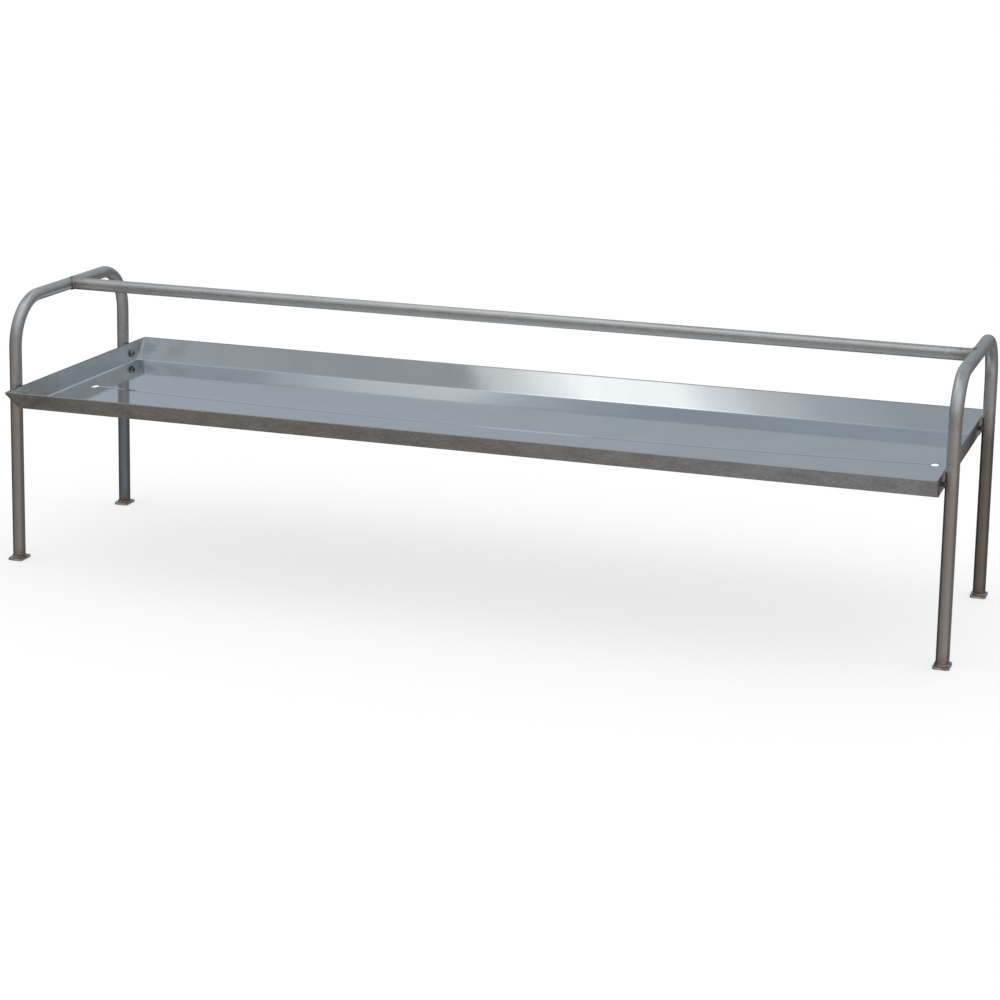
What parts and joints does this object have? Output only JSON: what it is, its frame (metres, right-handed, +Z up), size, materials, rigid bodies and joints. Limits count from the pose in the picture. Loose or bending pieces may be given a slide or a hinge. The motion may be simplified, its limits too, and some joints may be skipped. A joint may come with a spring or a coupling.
{
  "type": "raised plant tray",
  "caption": "Long shallow sheet-metal tray with flared sides and drain holes, bolted between two bent-tube hoop legs that a straight rail joins at the top.",
  "frame": {"origin": "centre of the footprint, on the floor", "axes": "+X along the tray from the left hoop to the right hoop, +Y from the front long side to the rear, +Z up"},
  "size_m": [1.2202, 0.396, 0.3492],
  "materials": {
    "frame_tube": "raw steel tube, satin, warm grey with faint mottling",
    "foot_plate": "raw steel plate, dull, a little rust by the weld",
    "weld": "rippled weld bead, darker than the tube",
    "tray_sheet": "bright galvanised sheet, glossy, cool grey",
    "fastener": "zinc-plated, semi-gloss"
  },
  "bodies": {
    "root": {"left_hoop": "frame_tube", "right_hoop": "frame_tube", "top_rail": "frame_tube", "rail_weld_left": "weld", "rail_weld_right": "weld", "foot_plate_front_left": "foot_plate", "foot_plate_front_right": "foot_plate", "foot_plate_rear_left": "foot_plate", "foot_plate_rear_right": "foot_plate", "foot_weld_front_left": "weld", "foot_weld_front_right": "weld", "foot_weld_rear_left": "weld", "foot_weld_rear_right": "weld", "tray": "tray_sheet", "corner_weld_front_left": "weld", "corner_weld_front_right": "weld", "corner_weld_rear_left": "weld", "corner_weld_rear_right": "weld", "tray_bolt_front_left": "fastener", "tray_bolt_front_right": "fastener", "tray_bolt_rear_left": "fastener", "tray_bolt_rear_right": "fastener", "leg_insert_front_left": "fastener", "leg_insert_front_right": "fastener", "leg_insert_rear_left": "fastener", "leg_insert_rear_right": "fastener"}
  },
  "joints": []
}
